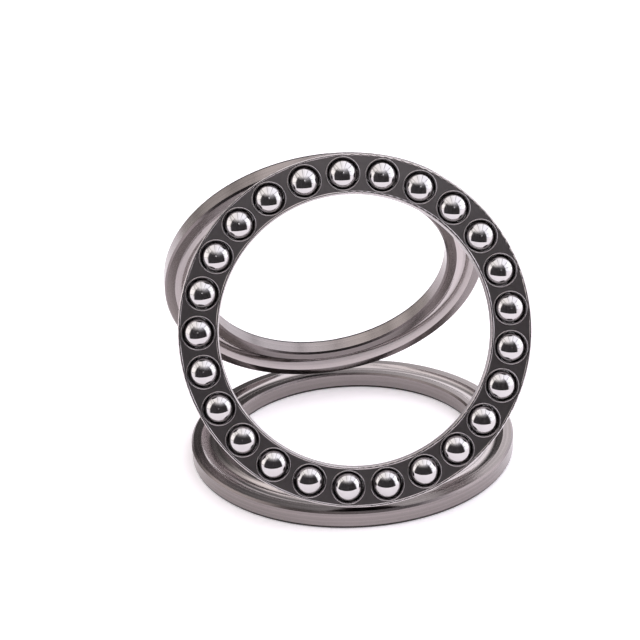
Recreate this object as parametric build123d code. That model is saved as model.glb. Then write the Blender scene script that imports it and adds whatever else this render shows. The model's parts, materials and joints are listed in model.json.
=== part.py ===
from build123d import *
from math import cos, pi, radians, sin, sqrt
import os

os.makedirs("parts", exist_ok=True)

# Driving sizes of the bearing, mm.
BORE = 80.0  # shaft washer's bore
OUTER = 105.0  # outside diameter of both washers
HEIGHT = 19.0  # height of the stacked bearing
BALL = 9.525  # ball diameter, three eighths of an inch
BALLS = 25
BORE_STEP = 2.0  # how much wider the housing washer's bore is
BACK_EDGE = 1.0  # edge radius at the washers' back faces
FACE_EDGE = 0.6  # edge chamfer at the washers' groove faces
GROOVE_EDGE = 0.2  # rounding where the groove meets the flat shoulders
SHEET = 0.6  # cage sheet thickness
CAGE_GAP = 0.3  # cage rims to the washers' outside diameter and shaft bore
CAGE_HALF = 2.5  # cage mid plane to its flat faces
CAGE_CORNER = 0.9  # outside bend radius of the channel
LEDGE = 0.25  # shoulder inside the channel that the cover sits on
CRIMP = 0.8  # width of the rims rolled over the cover
CRIMP_HIGH = 0.28  # how far the rolled rims stand above the cover
LIP_HIGH = 0.28  # how far the pocket lips stand above the cage faces
LIP_GAP = 0.08  # pocket lips to the rolled rims and to each other
SLIP = 0.01  # cover's edge to the channel wall
POCKET_SHARE = 0.955  # pocket radius over ball radius, under 1 to keep the ball in

# How the loose rings lie: the housing washer is flat on the floor, groove up. The
# cage and the shaft washer each stand on it at their lowest point, the foot, and
# the shaft washer leans forward against the cage. A lean tips a ring's front face
# up from straight ahead (-Y), a turn swings it towards +X.
REST_GAP = 0.25  # left between rings that would touch
CAGE_LEAN = 23.45
CAGE_TURN = 1.87
CAGE_ROLL = 91.2  # first ball's angle round the cage, from +X
CAGE_FOOT = 3.6  # foot inside the housing washer's outside diameter
CAGE_SIDE = 2.07  # foot's place towards +X
SHAFT_TURN = 7.19
SHAFT_FOOT = 0.2  # foot inside the groove's inner edge
SHAFT_ROUND = 12.3  # foot's place round the washer, from straight back towards -X
LEAN_TRIES = 12  # halvings of the range that the shaft washer's lean is sought in

# Derived sizes.
PITCH_R = (BORE + OUTER) / 4
OUTER_R = OUTER / 2
BALL_R = BALL / 2
FLOOR = (HEIGHT - BALL) / 2
GROOVE_R = 0.54 * BALL
GROOVE_DEPTH = 0.1 * BALL
GROOVE_HALF = sqrt(GROOVE_R**2 - (GROOVE_R - GROOVE_DEPTH) ** 2)
THICK = FLOOR + GROOVE_DEPTH
CAGE_OUT = OUTER_R - CAGE_GAP
CAGE_IN = BORE / 2 + CAGE_GAP
POCKET_R = POCKET_SHARE * BALL_R
RIM_ROOM = min(CAGE_OUT - PITCH_R, PITCH_R - CAGE_IN) - CRIMP  # pocket to rolled rim
BALL_ROOM = PITCH_R * sin(pi / BALLS)  # half the distance between balls
LIP_OUT = min(RIM_ROOM, BALL_ROOM) - LIP_GAP


def ring(*curves):
    """Solid of revolution about Z from a closed outline drawn as radius, height."""
    return revolve(Plane.XZ * make_face(Curve() + list(curves)), axis=Axis.Z)


def facing(foot, lean, turn, rim_r, rim_high):
    """Plane of a ring that stands on foot with the rim circle of that radius and
    height above the plane. Its normal has the lean and turn, its X axis is level."""
    up = radians(lean)
    side = radians(turn)
    normal = Vector(sin(side) * cos(up), -cos(side) * cos(up), sin(up))
    level = Vector(cos(side), sin(side), 0)
    centre = foot + normal.cross(level) * rim_r - normal * rim_high
    return Plane(origin=centre, x_dir=level, z_dir=normal)


def washer(bore_r):
    """Grooved washer standing on its back face."""
    e = BACK_EDGE
    c = FACE_EDGE
    q = e * (1 - sqrt(0.5))
    body = ring(
        Line((bore_r + e, 0), (OUTER_R - e, 0)),
        ThreePointArc((OUTER_R - e, 0), (OUTER_R - q, q), (OUTER_R, e)),
        Line((OUTER_R, e), (OUTER_R, THICK - c)),
        Line((OUTER_R, THICK - c), (OUTER_R - c, THICK)),
        Line((OUTER_R - c, THICK), (PITCH_R + GROOVE_HALF, THICK)),
        ThreePointArc(
            (PITCH_R + GROOVE_HALF, THICK),
            (PITCH_R, FLOOR),
            (PITCH_R - GROOVE_HALF, THICK),
        ),
        Line((PITCH_R - GROOVE_HALF, THICK), (bore_r + c, THICK)),
        Line((bore_r + c, THICK), (bore_r, THICK - c)),
        Line((bore_r, THICK - c), (bore_r, e)),
        ThreePointArc((bore_r, e), (bore_r + q, q), (bore_r + e, 0)),
    )
    rims = [
        edge
        for edge in body.edges().filter_by(GeomType.CIRCLE)
        if abs(abs(edge.radius - PITCH_R) - GROOVE_HALF) < 0.01
        and abs(edge.center().Z - THICK) < 0.01
    ]
    return fillet(rims, GROOVE_EDGE)


def lip():
    """Raised rim round one pocket, standing on a cage face at height 0."""
    return ring(
        Line((POCKET_R - 0.05, -SHEET / 2), (POCKET_R + 0.2, 0.1)),
        ThreePointArc(
            (POCKET_R + 0.2, 0.1),
            ((POCKET_R + LIP_OUT) / 2 + 0.1, LIP_HIGH),
            (LIP_OUT, 0),
        ),
        Line((LIP_OUT, 0), (LIP_OUT, -SHEET / 2)),
        Line((LIP_OUT, -SHEET / 2), (POCKET_R - 0.05, -SHEET / 2)),
    )


def pocket_cut():
    """Ball's hole through one cage plate, flared towards the outside."""
    return ring(
        Line((0, -2 * SHEET), (POCKET_R, -2 * SHEET)),
        Line((POCKET_R, -2 * SHEET), (POCKET_R, -SHEET / 2)),
        Line((POCKET_R, -SHEET / 2), (POCKET_R + 0.3, SHEET / 2)),
        Line((POCKET_R + 0.3, SHEET / 2), (0, SHEET / 2)),
        Line((0, SHEET / 2), (0, -2 * SHEET)),
    )


def round_cage(shape, height, flip):
    """Copies of shape at every ball, at a height, turned over for the back."""
    return [
        Rot(0, 0, CAGE_ROLL - k * 360 / BALLS)
        * Pos(PITCH_R, 0, height)
        * Rot(flip, 0, 0)
        * shape
        for k in range(BALLS)
    ]


def wall(edge_r, side):
    """Rolled rim of the channel at edge_r, closing towards the ball circle."""
    top = CAGE_HALF
    step = CAGE_HALF - SHEET
    inner = edge_r + side * SHEET
    shelf = inner + side * LEDGE
    return [
        ThreePointArc(
            (edge_r, top - 0.15),
            (edge_r + side * CRIMP * 0.4, top + CRIMP_HIGH),
            (edge_r + side * CRIMP, top + 0.02),
        ),
        Line((edge_r + side * CRIMP, top + 0.02), (inner, top + 0.02)),
        Line((inner, top + 0.02), (inner, step)),
        Line((inner, step), (shelf, step)),
        Line((shelf, step), (shelf, -step)),
    ]


def cage_channel():
    """Back half of the cage: pocketed plate with both rims folded forward."""
    c = CAGE_CORNER
    q = c * (1 - sqrt(0.5))
    back = -CAGE_HALF
    rim = CAGE_HALF - 0.15
    body = ring(
        Line((CAGE_IN + c, back), (CAGE_OUT - c, back)),
        ThreePointArc(
            (CAGE_OUT - c, back), (CAGE_OUT - q, back + q), (CAGE_OUT, back + c)
        ),
        Line((CAGE_OUT, back + c), (CAGE_OUT, rim)),
        *wall(CAGE_OUT, -1),
        Line(
            (CAGE_OUT - SHEET - LEDGE, back + SHEET),
            (CAGE_IN + SHEET + LEDGE, back + SHEET),
        ),
        *wall(CAGE_IN, 1),
        Line((CAGE_IN, rim), (CAGE_IN, back + c)),
        ThreePointArc(
            (CAGE_IN, back + c), (CAGE_IN + q, back + q), (CAGE_IN + c, back)
        ),
    )
    body += round_cage(lip(), back, 180)
    return body - round_cage(pocket_cut(), back, 180)


def cage_cover():
    """Front half of the cage: pocketed flat ring held under the rolled rims."""
    low = CAGE_HALF - SHEET
    inner = CAGE_IN + SHEET + SLIP
    outer = CAGE_OUT - SHEET - SLIP
    body = ring(
        Line((inner, low), (outer, low)),
        Line((outer, low), (outer, CAGE_HALF)),
        Line((outer, CAGE_HALF), (inner, CAGE_HALF)),
        Line((inner, CAGE_HALF), (inner, low)),
    )
    body += round_cage(lip(), CAGE_HALF, 0)
    return body - round_cage(pocket_cut(), CAGE_HALF, 0)


def cage_outline():
    """Space that the cage and its balls turn in."""
    body = Cylinder(CAGE_OUT, 2 * CAGE_HALF) - Cylinder(CAGE_IN, 2 * CAGE_HALF)
    rims = [e for e in body.edges().filter_by(GeomType.CIRCLE) if e.radius > PITCH_R]
    body = fillet(rims, CAGE_CORNER)
    lips = Cylinder(PITCH_R + LIP_OUT, 2 * (CAGE_HALF + LIP_HIGH))
    lips -= Cylinder(PITCH_R - LIP_OUT, 2 * (CAGE_HALF + LIP_HIGH))
    return body + lips + Torus(PITCH_R, BALL_R)


def shaft_plane_at(lean):
    """Groove face of the shaft washer, standing on the inner shoulder."""
    round_to = radians(SHAFT_ROUND)
    out = PITCH_R - GROOVE_HALF - SHAFT_FOOT
    foot = Vector(-out * sin(round_to), out * cos(round_to), THICK + REST_GAP)
    return facing(foot, -lean, SHAFT_TURN, OUTER_R, -FACE_EDGE)


def lean_against(shape, other):
    """Largest forward lean that keeps shape REST_GAP from the other ring."""
    low = 0.0
    high = 60.0
    for _ in range(LEAN_TRIES):
        lean = (low + high) / 2
        if (shaft_plane_at(lean) * shape).distance_to(other) > REST_GAP:
            low = lean
        else:
            high = lean
    return low


# The cage stands on its rounded back corner, whose centre is one corner radius up.
corner = Vector(CAGE_SIDE, CAGE_FOOT - OUTER_R, THICK + REST_GAP + CAGE_CORNER)
cage_plane = facing(
    corner, CAGE_LEAN, CAGE_TURN, CAGE_OUT - CAGE_CORNER, CAGE_CORNER - CAGE_HALF
)
shaft_washer = Pos(0, 0, -THICK) * washer(BORE / 2)
shaft_lean = lean_against(shaft_washer, cage_plane * cage_outline())

nodes = {
    "housing_washer": washer(BORE / 2 + BORE_STEP / 2),
    "shaft_washer": shaft_plane_at(shaft_lean) * shaft_washer,
    "cage_channel": cage_plane * cage_channel(),
    "cage_cover": cage_plane * cage_cover(),
}

# The row's origin is the centre of the whole layout's box, on the floor.
box = Compound(children=[s.solid() for s in nodes.values()]).bounding_box()
centring = Pos(-box.center().X, -box.center().Y, 0)

for k, ball in enumerate(round_cage(Sphere(BALL_R), 0, 0)):
    nodes[f"ball_{k + 1:02d}"] = cage_plane * ball

for name, shape in nodes.items():
    export_step(centring * shape, f"parts/{name}.step")
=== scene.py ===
import json
import math

import bpy
from mathutils import Matrix, Vector


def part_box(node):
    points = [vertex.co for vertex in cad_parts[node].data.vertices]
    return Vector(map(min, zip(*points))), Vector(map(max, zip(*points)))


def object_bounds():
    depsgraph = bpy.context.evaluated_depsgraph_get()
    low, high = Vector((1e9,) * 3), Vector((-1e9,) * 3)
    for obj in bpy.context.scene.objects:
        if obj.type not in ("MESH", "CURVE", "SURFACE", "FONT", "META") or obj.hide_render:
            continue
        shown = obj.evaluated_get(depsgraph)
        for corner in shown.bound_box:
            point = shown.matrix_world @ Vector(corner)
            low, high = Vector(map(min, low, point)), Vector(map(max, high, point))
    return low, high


MM = 0.001

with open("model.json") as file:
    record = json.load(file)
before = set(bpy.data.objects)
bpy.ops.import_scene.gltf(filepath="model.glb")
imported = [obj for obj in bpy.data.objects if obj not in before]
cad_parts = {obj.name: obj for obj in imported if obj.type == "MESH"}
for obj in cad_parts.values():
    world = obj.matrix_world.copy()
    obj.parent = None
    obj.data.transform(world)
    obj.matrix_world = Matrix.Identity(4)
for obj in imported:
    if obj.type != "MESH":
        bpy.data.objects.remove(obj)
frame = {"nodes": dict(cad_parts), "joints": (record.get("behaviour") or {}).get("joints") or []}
cad_low, cad_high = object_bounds()
nodes = frame["nodes"]
joints = {joint["name"]: joint for joint in frame["joints"]}

BALLS = sorted(name for name in nodes if name.startswith("ball_"))
WASHERS = ("housing_washer", "shaft_washer")
CAGE = ("cage_channel", "cage_cover")

# Finishes, painted sheen and painted shade on the steel, in millimetres across the ring that
# they are on.
BACK_BAND = 1.0  # painted contact shadow on the edges beside a washer's back face
FACE_BAND = 0.62  # chamfers beside a washer's groove face, painted darker as a painted shade line
RACE_HALF = 3.0  # half the width of the polished groove
RACE_SOFT = 0.1  # either side of its edge
RACE_ABOVE = 1.0  # no polish nearer to the back face than this
LIP_RADIUS = 4.92  # painted sheen: a lighter ring round each pocket, standing in for highlights on the lips
LIP_HALF = 0.14
RIM_BAND = 0.75  # painted sheen on the rims of the cage, in from its round walls
RIM_HEIGHT = 2.3  # and out from its middle

# Steel colours, with painted shade and painted sheen among them, each as its darker and its
# lighter tone where it has two.
GROUND = (0.195, 0.174, 0.171, 1), (0.32, 0.288, 0.286, 1)
RACE = (0.34, 0.308, 0.305, 1), (0.52, 0.478, 0.478, 1)
# Painted shade: the chamfers are painted darker to draw the dark line that the light leaves
# along them.
CHAMFER_SHADE = (0.19, 0.165, 0.165, 1)
# Painted contact shadow: near black on the edges beside a washer's back face, where it meets the
# floor.
CONTACT_SHADOW = (0.03, 0.027, 0.027, 1)
SHEET = (0.27, 0.248, 0.252, 1), (0.35, 0.323, 0.328, 1)
# Painted sheen: a lighter tone on the pocket lips and rims, standing in for their highlights.
PAINTED_SHEEN = (0.52, 0.485, 0.49, 1)
LAPPED = (0.49, 0.475, 0.48, 1), (0.56, 0.545, 0.55, 1)

# Marks on the steel, per millimetre, and on the balls, per metre.
LINES = 1.9  # turning lines
BANDS = 0.7  # broader tones between them
SPECKS = 1.6
CLOUDS = 0.12  # slow changes over the cage
GRAIN = 2.5
PATCHES = 2.2  # round the ring, per its radius
HAZE = 400.0
HAIRS = (9000.0, 1400.0, 1400.0)
MARK_DEPTH = 0.00002  # metres, of lines and grain alike

# Roughness: where it starts, and what each finish or mark adds at most.
WASHER_ROUGH = 0.11
WASHER_PATCHES_ROUGH = 0.08
WASHER_LINES_ROUGH = 0.12
RACE_ROUGH = -0.06
# rougher on the band of painted contact shadow
CONTACT_SHADOW_ROUGH = 0.2
CAGE_ROUGH = 0.27
CAGE_GRAIN_ROUGH = 0.10
# smoother on the painted sheen of the lips and rims
SHEEN_ROUGH = -0.08
BALL_ROUGH = 0.01
BALL_HAZE_ROUGH = 0.02
BALL_HAIR_ROUGH = 0.06
TURNED = 0.35  # how far the turning lines stretch highlights


# ---------------------------------------------------------------- node helpers


class Graph:
    """A material's or world's node tree, built by short calls."""

    def __init__(self, tree):
        self.tree = tree
        tree.nodes.clear()

    def add(self, kind, inputs=(), **settings):
        node = self.tree.nodes.new(kind)
        for name, value in settings.items():
            setattr(node, name, value)
        for socket, value in dict(inputs).items():
            self.put(node.inputs[socket], value)
        return node

    def put(self, socket, value):
        if isinstance(value, bpy.types.NodeSocket):
            self.tree.links.new(value, socket)
        else:
            socket.default_value = value

    def math(self, operation, a, b=0.0, c=0.0, clamp=False):
        node = self.add("ShaderNodeMath", operation=operation, use_clamp=clamp)
        for socket, value in zip(node.inputs, (a, b, c)):
            self.put(socket, value)
        return node.outputs[0]

    def vector(self, operation, a, b=(0, 0, 0)):
        node = self.add("ShaderNodeVectorMath", operation=operation)
        self.put(node.inputs[0], a)
        self.put(node.inputs[1], b)
        return node

    def dot(self, a, b):
        return self.vector("DOT_PRODUCT", a, b).outputs["Value"]

    def combine(self, x, y, z=0.0):
        return self.add("ShaderNodeCombineXYZ", {"X": x, "Y": y, "Z": z}).outputs[0]

    def noise(self, vector, scale, detail=2.0, roughness=0.5):
        inputs = {"Vector": vector, "Scale": scale, "Detail": detail}
        inputs["Roughness"] = roughness
        return self.add("ShaderNodeTexNoise", inputs).outputs["Fac"]

    def span(self, value, low, high, to_low=0.0, to_high=1.0):
        """Value from low..high carried to to_low..to_high, held at both ends."""
        inputs = {0: value, 1: low, 2: high, 3: to_low, 4: to_high}
        node = self.add("ShaderNodeMapRange", inputs, clamp=True)
        node.interpolation_type = "SMOOTHSTEP"
        return node.outputs[0]

    def mix(self, share, a, b):
        node = self.add("ShaderNodeMix", data_type="RGBA")
        self.put(node.inputs[0], share)
        self.put(node.inputs[6], a)
        self.put(node.inputs[7], b)
        return node.outputs[2]

    def bump(self, height, distance, strength=1.0, under=None):
        inputs = {"Height": height, "Distance": distance, "Strength": strength}
        if under is not None:
            inputs["Normal"] = under
        return self.add("ShaderNodeBump", inputs).outputs[0]


def surface(name):
    """New node material with a principled shader. Returns material, graph, shader."""
    material = bpy.data.materials.new(name)
    material.use_nodes = True
    graph = Graph(material.node_tree)
    shader = graph.add("ShaderNodeBsdfPrincipled")
    output = graph.add("ShaderNodeOutputMaterial")
    graph.put(output.inputs["Surface"], shader.outputs[0])
    return material, graph, shader


def dress(node_name, material):
    """Gives every material slot of a CAD node the material."""
    for slot in nodes[node_name].material_slots:
        slot.material = material


# ---------------------------------------------------------------- ring frames


def ring_sizes(node_name, centre, axis):
    """Bore radius, outside radius, lowest and highest height of a ring-shaped node
    along its axis, in mm, from its own points."""
    place = nodes[node_name].matrix_world
    heights, radii = [], []
    for vertex in nodes[node_name].data.vertices:
        out = place @ vertex.co - centre
        height = out.dot(axis)
        heights.append(height / MM)
        radii.append((out - axis * height).length / MM)
    return min(radii), max(radii), min(heights), max(heights)


def ring_frame(joint_name):
    """Centre and axis of the ring that a joint spins."""
    joint = joints[joint_name]
    return Vector(joint["pos_m"]), Vector(joint["axis"]).normalized()


def washer_frame(node_name):
    """Centre of a washer and the axis that its groove faces along."""
    if node_name == "shaft_washer":
        centre, axis = ring_frame("shaft_washer_spin")
        return centre, -axis  # the joint's axis points out of the washer's back
    low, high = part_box(node_name)
    return (low + high) / 2, Vector((0, 0, 1))


def ring_axes(axis):
    """Two unit vectors across a ring's axis. The first one is level."""
    level = Vector((0, 0, 1)).cross(axis)
    if level.length < 1e-6:
        level = Vector((1, 0, 0))
    level.normalize()
    return level, axis.cross(level)


def round_tangent(graph, centre, axis):
    """Direction of the turning lines: round the ring's axis at each point."""
    point = graph.add("ShaderNodeTexCoord").outputs["Object"]
    out = graph.vector("SUBTRACT", point, tuple(centre)).outputs[0]
    along = graph.vector("CROSS_PRODUCT", tuple(axis), out).outputs[0]
    return graph.vector("NORMALIZE", along).outputs[0]


def ring_coordinates(graph, centre, axis):
    """Sockets with a surface point's place in its ring: radius, height and angle,
    and its two coordinates across the axis. Lengths are in millimetres."""
    point = graph.add("ShaderNodeTexCoord").outputs["Object"]
    point = graph.vector("SUBTRACT", point, tuple(centre)).outputs[0]
    point = graph.vector("MULTIPLY", point, (1 / MM,) * 3).outputs[0]
    level, across = ring_axes(axis)
    x = graph.dot(point, tuple(level))
    y = graph.dot(point, tuple(across))
    height = graph.dot(point, tuple(axis))
    flat = graph.combine(x, y)
    radius = graph.vector("LENGTH", flat).outputs["Value"]
    angle = graph.math("ARCTAN2", y, x)
    return radius, height, angle, x, y


# ------------------------------------------------------------------- materials


def near_rims(graph, radius, bore_r, outer_r, band):
    """1 within a band of a ring's bore or outside diameter."""
    inner = graph.math("LESS_THAN", radius, bore_r + band)
    outer = graph.math("GREATER_THAN", radius, outer_r - band)
    return graph.math("MAXIMUM", inner, outer)


def back_edge_shadow(graph, radius, height, bore_r, outer_r, back):
    """1 on the rounded edges beside a washer's back face, which are painted near black as a
    painted contact shadow.
    """
    low = graph.math("LESS_THAN", height, back + BACK_BAND)
    rims = near_rims(graph, radius, bore_r, outer_r, BACK_BAND)
    return graph.math("MULTIPLY", low, rims)


def face_edge(graph, radius, height, bore_r, outer_r, face):
    """1 on the turned chamfers beside a washer's groove face, which are painted darker as a
    painted shade line.
    """
    high = graph.math("GREATER_THAN", height, face - FACE_BAND)
    rims = near_rims(graph, radius, bore_r, outer_r, FACE_BAND)
    return graph.math("MULTIPLY", high, rims)


def raceway(graph, radius, height, back):
    """1 in the polished groove that the balls roll in."""
    off = graph.math("ABSOLUTE", graph.math("SUBTRACT", radius, pitch))
    inside = graph.span(off, RACE_HALF - RACE_SOFT, RACE_HALF + RACE_SOFT, 1.0, 0.0)
    above = graph.math("GREATER_THAN", height, back + RACE_ABOVE)
    return graph.math("MULTIPLY", inside, above)


def washer_steel(name, centre, axis, sizes):
    """Ground and turned bearing steel, with painted shade on its back edges and chamfers. Its
    lines run round the axis.
    """
    bore_r, outer_r, back, face = sizes
    material, graph, shader = surface(name)
    radius, height, angle, x, y = ring_coordinates(graph, centre, axis)
    around = graph.combine(graph.math("COSINE", angle), graph.math("SINE", angle))
    profile = graph.combine(radius, height)
    lines = graph.noise(profile, LINES, 6.0, 0.8)
    bands = graph.noise(profile, BANDS, 2.0)
    patches = graph.noise(around, PATCHES, 3.0)
    specks = graph.noise(graph.combine(x, y, height), SPECKS, 4.0, 0.6)
    tone = graph.math("MULTIPLY_ADD", lines, 0.75, graph.math("MULTIPLY", bands, 0.15))
    tone = graph.math("MULTIPLY_ADD", specks, 0.10, tone)
    tone = graph.span(tone, 0.22, 0.78)
    race = raceway(graph, radius, height, back)
    chamfer_shade = face_edge(graph, radius, height, bore_r, outer_r, face)
    edge = back_edge_shadow(graph, radius, height, bore_r, outer_r, back)
    colour = graph.mix(race, graph.mix(tone, *GROUND), graph.mix(tone, *RACE))
    # painted shade line on the chamfers
    colour = graph.mix(chamfer_shade, colour, CHAMFER_SHADE)
    # painted contact shadow: the back edges are painted near black
    colour = graph.mix(edge, colour, CONTACT_SHADOW)
    graph.put(shader.inputs["Base Color"], colour)
    shader.inputs["Metallic"].default_value = 1.0
    rough = graph.math("MULTIPLY_ADD", patches, WASHER_PATCHES_ROUGH, WASHER_ROUGH)
    rough = graph.math("MULTIPLY_ADD", lines, WASHER_LINES_ROUGH, rough)
    rough = graph.math("MULTIPLY_ADD", race, RACE_ROUGH, rough)
    rough = graph.math("MULTIPLY_ADD", edge, CONTACT_SHADOW_ROUGH, rough)
    graph.put(shader.inputs["Roughness"], rough)
    shader.inputs["Anisotropic"].default_value = TURNED
    graph.put(shader.inputs["Tangent"], round_tangent(graph, centre, axis))
    graph.put(shader.inputs["Normal"], graph.bump(lines, MARK_DEPTH, 0.35))
    return material


def from_pocket(graph, radius, angle, first):
    """Distance from the middle of the nearest pocket. The first one is at an angle."""
    step = 2 * math.pi / len(BALLS)
    turn = graph.math("SUBTRACT", angle, first - step / 2)
    turn = graph.math("SUBTRACT", graph.math("FLOORED_MODULO", turn, step), step / 2)
    out = graph.math("MULTIPLY", graph.math("COSINE", turn), radius)
    side = graph.math("MULTIPLY", graph.math("SINE", turn), radius)
    offset = graph.combine(graph.math("SUBTRACT", out, pitch), side)
    return graph.vector("LENGTH", offset).outputs["Value"]


def cage_steel(centre, axis, sizes, first):
    """Smooth grey pressed sheet, with a painted sheen on the pocket lips and rolled rims."""
    bore_r, outer_r = sizes[:2]
    material, graph, shader = surface("cage_steel")
    radius, height, angle, x, y = ring_coordinates(graph, centre, axis)
    pocket = from_pocket(graph, radius, angle, first)
    lip = graph.math("COMPARE", pocket, LIP_RADIUS, LIP_HALF)
    rims = graph.math("GREATER_THAN", graph.math("ABSOLUTE", height), RIM_HEIGHT)
    walls = near_rims(graph, radius, bore_r, outer_r, RIM_BAND)
    lip_and_rim_sheen = graph.math("MAXIMUM", lip, graph.math("MULTIPLY", rims, walls))
    clouds = graph.noise(graph.combine(x, y, height), CLOUDS, 3.0)
    grain = graph.noise(graph.combine(x, y, height), GRAIN, 5.0, 0.65)
    tone = graph.math("MULTIPLY_ADD", grain, 0.5, graph.math("MULTIPLY", clouds, 0.5))
    # painted sheen: the lips and rims are painted lighter
    colour = graph.mix(lip_and_rim_sheen, graph.mix(tone, *SHEET), PAINTED_SHEEN)
    graph.put(shader.inputs["Base Color"], colour)
    shader.inputs["Metallic"].default_value = 1.0
    rough = graph.math("MULTIPLY_ADD", grain, CAGE_GRAIN_ROUGH, CAGE_ROUGH)
    rough = graph.math("MULTIPLY_ADD", lip_and_rim_sheen, SHEEN_ROUGH, rough)
    graph.put(shader.inputs["Roughness"], rough)
    graph.put(shader.inputs["Normal"], graph.bump(grain, MARK_DEPTH, 0.25))
    return material


def ball_steel():
    """Lapped and polished bearing ball with faint haze and hairline marks."""
    material, graph, shader = surface("ball_steel")
    point = graph.add("ShaderNodeTexCoord").outputs["Object"]
    haze = graph.noise(point, HAZE, 3.0)
    stretched = graph.vector("MULTIPLY", point, HAIRS).outputs[0]
    hairs = graph.span(graph.noise(stretched, 1.0, 3.0), 0.60, 0.72)
    graph.put(shader.inputs["Base Color"], graph.mix(haze, *LAPPED))
    shader.inputs["Metallic"].default_value = 1.0
    rough = graph.math("MULTIPLY_ADD", haze, BALL_HAZE_ROUGH, BALL_ROUGH)
    rough = graph.math("MULTIPLY_ADD", hairs, BALL_HAIR_ROUGH, rough)
    graph.put(shader.inputs["Roughness"], rough)
    return material


cage_centre, cage_axis = ring_frame("cage_spin")
level, across = ring_axes(cage_axis)
first_ball = Vector(joints["ball_01_spin"]["pos_m"]) - cage_centre
first_angle = math.atan2(first_ball.dot(across), first_ball.dot(level))
pitch = first_ball.length / MM  # radius of the circle through the balls' centres

for node_name in WASHERS:
    centre, axis = washer_frame(node_name)
    washer = ring_sizes(node_name, centre, axis)
    dress(node_name, washer_steel(f"{node_name}_steel", centre, axis, washer))

cage = ring_sizes("cage_channel", cage_centre, cage_axis)
steel = cage_steel(cage_centre, cage_axis, cage, first_angle)
for node_name in CAGE:
    dress(node_name, steel)

polished = ball_steel()
for node_name in BALLS:
    dress(node_name, polished)


# ---------------------------------------------------------------------- studio

FLOOR_SIZE = 8.0
TABLE_GLOW = 0.26

BACKDROP_REACH = 3.5
BACKDROP_TOP = 3.0
BACKDROP_STEPS = 64

# The card stands on the floor round the middle, between two angles from the front.
CARD_REACH = 0.21
CARD_TOP = 0.50
CARD_FADE = 0.12  # height at which it starts to thin out
CARD_LEFT = math.radians(64)
CARD_RIGHT = math.radians(56)
CARD_SIDE_FADE = math.radians(10)
CARD_STEPS = 48

# The tent's walls by direction: strength, and where each starts and is full.
TENT_DIM = 0.12
TENT_ROOF, ROOF_STARTS, ROOF_FULL = 1.6, 0.50, 0.82
TENT_LEFT, LEFT_STARTS, LEFT_FULL = 1.1, 0.55, 0.9
TENT_RIGHT, RIGHT_STARTS, RIGHT_FULL = 1.8, -0.06, 0.14
WARM_SIDE = (1.0, 0.955, 0.93, 1)
COOL_SIDE = (0.97, 0.965, 1.03, 1)
WARM_TO_COOL = 0.7  # how far sideways each is full
SEAMS = 13
SEAM_WIDTH = 0.08  # of the way to the next seam
SEAM_TONE = 0.1  # share of the light left in the middle of a seam
SEAM_UP = (0.0, 0.403, 0.915)  # the seams fan out round a line across this and X

SOFTBOX = (0.9, 0.7)
SOFTBOX_POWER = 1.5
LEFT_SOFTBOX = (-0.95, 0.0, 0.40)
RIGHT_SOFTBOX = (0.95, 0.1, 0.40)


def link(obj):
    bpy.context.scene.collection.objects.link(obj)
    return obj


def faded(name, colour, low, high):
    """Matt card that thins out upward between two heights, and at its sides."""
    material, graph, shader = surface(name)
    shader.inputs["Base Color"].default_value = colour
    shader.inputs["Roughness"].default_value = 1.0
    shader.inputs["Specular IOR Level"].default_value = 0.0
    point = graph.add("ShaderNodeTexCoord").outputs["Object"]
    parts = graph.add("ShaderNodeSeparateXYZ", {"Vector": point}).outputs
    turn = graph.math("ARCTAN2", parts["X"], graph.math("MULTIPLY", parts["Y"], -1.0))
    up = graph.span(parts["Z"], low, high, 1.0, 0.0)
    left = graph.span(turn, -CARD_LEFT, CARD_SIDE_FADE - CARD_LEFT)
    right = graph.span(turn, CARD_RIGHT - CARD_SIDE_FADE, CARD_RIGHT, 1.0, 0.0)
    solid = graph.math("MULTIPLY", up, graph.math("MULTIPLY", left, right))
    graph.put(shader.inputs["Alpha"], solid)
    return material


def mesh_object(name, points, faces, material):
    mesh = bpy.data.meshes.new(name)
    mesh.from_pydata(points, [], faces)
    mesh.materials.append(material)
    return link(bpy.data.objects.new(name, mesh))


def only_in_reflections(obj):
    obj.visible_camera = False
    obj.visible_diffuse = False
    obj.visible_shadow = False
    obj.visible_transmission = False


def only_for_camera(obj):
    obj.visible_glossy = False
    obj.visible_diffuse = False
    obj.visible_shadow = False
    obj.visible_transmission = False


def backdrop():
    """Plain pale drum round and over the set, so no view shows the lights."""
    points, faces = [], []
    for k in range(BACKDROP_STEPS):
        turn = 2 * math.pi * k / BACKDROP_STEPS
        x, y = BACKDROP_REACH * math.cos(turn), BACKDROP_REACH * math.sin(turn)
        points += [(x, y, 0.0), (x, y, BACKDROP_TOP)]
    points.append((0, 0, BACKDROP_TOP))
    for k in range(BACKDROP_STEPS):
        a, b = 2 * k, 2 * ((k + 1) % BACKDROP_STEPS)
        faces += [(a, b, b + 1, a + 1), (a + 1, b + 1, len(points) - 1)]
    paper, graph, shader = surface("backdrop_paper")
    shader.inputs["Base Color"].default_value = (0.9, 0.89, 0.9, 1)
    shader.inputs["Emission Color"].default_value = (1.0, 0.99, 1.0, 1)
    shader.inputs["Emission Strength"].default_value = 1.0
    only_for_camera(mesh_object("backdrop", points, faces, paper))


def floor():
    """A pale table, lit a little from below."""
    h = FLOOR_SIZE / 2
    points = [(-h, -h, 0), (h, -h, 0), (h, h, 0), (-h, h, 0)]
    paper, graph, shader = surface("light_table")
    shader.inputs["Base Color"].default_value = (0.93, 0.90, 0.925, 1)
    shader.inputs["Roughness"].default_value = 0.9
    shader.inputs["Emission Color"].default_value = (1.0, 0.96, 0.99, 1)
    shader.inputs["Emission Strength"].default_value = TABLE_GLOW
    mesh_object("floor", points, [(0, 1, 2, 3)], paper)


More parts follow.
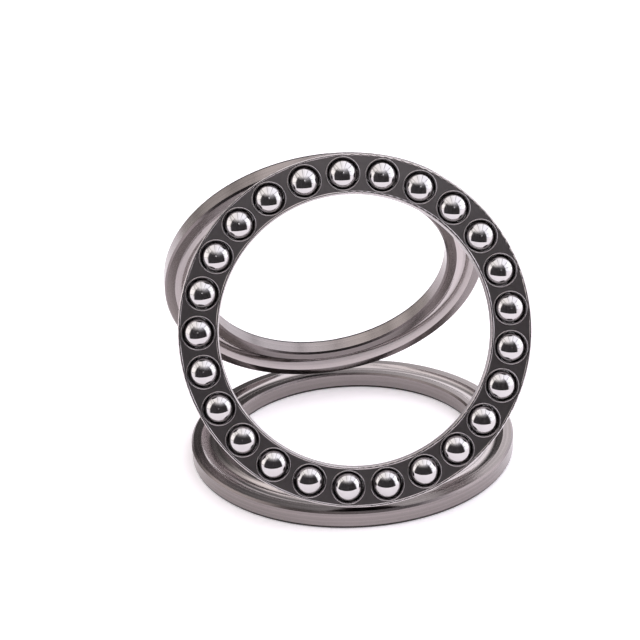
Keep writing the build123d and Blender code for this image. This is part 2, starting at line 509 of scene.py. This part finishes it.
def dark_card():
    """Stands in for the unlit side of the studio. It is nearer than the camera, and
    is seen only in reflections."""
    points = []
    for k in range(CARD_STEPS + 1):
        turn = (CARD_LEFT + CARD_RIGHT) * k / CARD_STEPS - CARD_LEFT
        x, y = CARD_REACH * math.sin(turn), -CARD_REACH * math.cos(turn)
        points += [(x, y, 0.0), (x, y, CARD_TOP)]
    faces = [(2 * k, 2 * k + 2, 2 * k + 3, 2 * k + 1) for k in range(CARD_STEPS)]
    matt = faded("card", (0.045, 0.043, 0.044, 1), CARD_FADE, CARD_TOP)
    only_in_reflections(mesh_object("dark_card", points, faces, matt))


def softbox(name, place, target, colour):
    light = bpy.data.lights.new(name, "AREA")
    light.shape = "RECTANGLE"
    light.size, light.size_y = SOFTBOX
    light.energy = SOFTBOX_POWER
    light.color = colour
    lamp = link(bpy.data.objects.new(name, light))
    lamp.location = place
    away = Vector(place) - Vector(target)
    lamp.rotation_euler = away.to_track_quat("Z", "Y").to_euler()


def studio_world():
    """A light tent: a bright roof and sides, crossed by dark seams, and dim elsewhere."""
    world = bpy.data.worlds.new("studio")
    bpy.context.scene.world = world
    world.use_nodes = True
    graph = Graph(world.node_tree)
    way = graph.add("ShaderNodeTexCoord").outputs["Generated"]
    parts = graph.add("ShaderNodeSeparateXYZ", {"Vector": way}).outputs
    roof = graph.span(parts["Z"], ROOF_STARTS, ROOF_FULL, TENT_DIM, TENT_ROOF)
    left = graph.span(parts["X"], -LEFT_FULL, -LEFT_STARTS, TENT_LEFT, 0.0)
    right = graph.span(parts["X"], RIGHT_STARTS, RIGHT_FULL, 0.0, TENT_RIGHT)
    sides = graph.math("MAXIMUM", left, right)
    up = graph.dot(way, SEAM_UP)
    turn = graph.math("ARCTAN2", up, parts["X"])
    turn = graph.math("MULTIPLY", turn, SEAMS / (2 * math.pi))
    share = graph.math("FRACT", turn)
    apart = graph.math("ABSOLUTE", graph.math("SUBTRACT", share, 0.5))
    seam = graph.span(apart, 0.0, SEAM_WIDTH, SEAM_TONE, 1.0)
    light = graph.math("MULTIPLY", graph.math("MAXIMUM", roof, sides), seam)
    cool = graph.span(parts["X"], -WARM_TO_COOL, WARM_TO_COOL)
    background = graph.add("ShaderNodeBackground")
    graph.put(background.inputs["Color"], graph.mix(cool, WARM_SIDE, COOL_SIDE))
    graph.put(background.inputs["Strength"], light)
    output = graph.add("ShaderNodeOutputWorld")
    graph.put(output.inputs["Surface"], background.outputs[0])


floor()
backdrop()
dark_card()
studio_world()
middle = (cad_low + cad_high) / 2
softbox("left_softbox", LEFT_SOFTBOX, middle, (1, 0.96, 0.94))
softbox("right_softbox", RIGHT_SOFTBOX, middle, (1, 0.99, 1))


# ---------------------------------------------------------------------- camera

CAMERA_PLACE = Vector((-6.48, -428.7, 235.8)) * MM
CAMERA_TIP = math.radians(23.8)
CAMERA_ROLL = math.radians(2.63)
LENS = 83.3
SHIFT = (0.0016, -0.0068)


def camera():
    data = bpy.data.cameras.new("camera")
    data.lens = LENS
    data.sensor_width = 36.0
    data.shift_x, data.shift_y = SHIFT
    data.clip_start = 0.01
    data.clip_end = 50.0
    eye = link(bpy.data.objects.new("camera", data))
    look = Matrix.Rotation(math.pi / 2 - CAMERA_TIP, 4, "X")
    look @= Matrix.Rotation(-CAMERA_ROLL, 4, "Z")
    eye.matrix_world = Matrix.Translation(CAMERA_PLACE) @ look
    bpy.context.scene.camera = eye


camera()
bpy.context.scene.view_settings.view_transform = "Standard"
